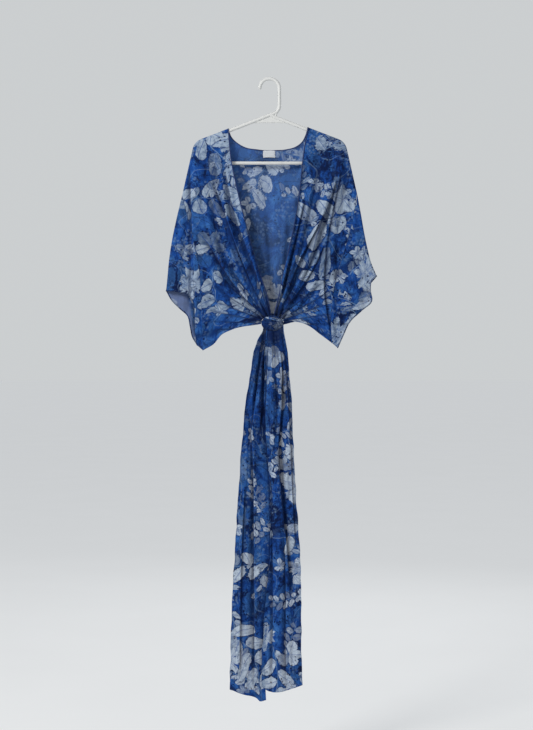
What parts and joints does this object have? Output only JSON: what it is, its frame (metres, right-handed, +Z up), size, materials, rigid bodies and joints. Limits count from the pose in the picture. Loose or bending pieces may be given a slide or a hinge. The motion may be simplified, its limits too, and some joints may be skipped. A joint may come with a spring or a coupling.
{
  "type": "kimono jacket",
  "caption": "Short open-front kimono jacket with butterfly sleeves, gathered into a front knot with long hanging ties, on a clothes hanger.",
  "frame": {"origin": "inner top of the hanger's hook, where a peg or rail carries it", "axes": "+Z up, -Y out of the garment's front, +X towards the wearer's left"},
  "size_m": [0.5621, 0.063, 1.6567],
  "materials": {
    "printed_chiffon": "sheer printed weave, matte",
    "navy_binding": "narrow folded strip, matte",
    "white_plastic": "moulded, satin gloss",
    "label_ribbon": "woven ribbon, blank"
  },
  "bodies": {
    "root": {"hanger": "white_plastic", "back": "printed_chiffon", "front_right": "printed_chiffon", "front_left": "printed_chiffon", "sleeve_right": "printed_chiffon", "sleeve_left": "printed_chiffon", "tie_right": "printed_chiffon", "tie_left": "printed_chiffon", "knot": "printed_chiffon", "neck_binding": "navy_binding", "label": "label_ribbon"}
  },
  "joints": []
}
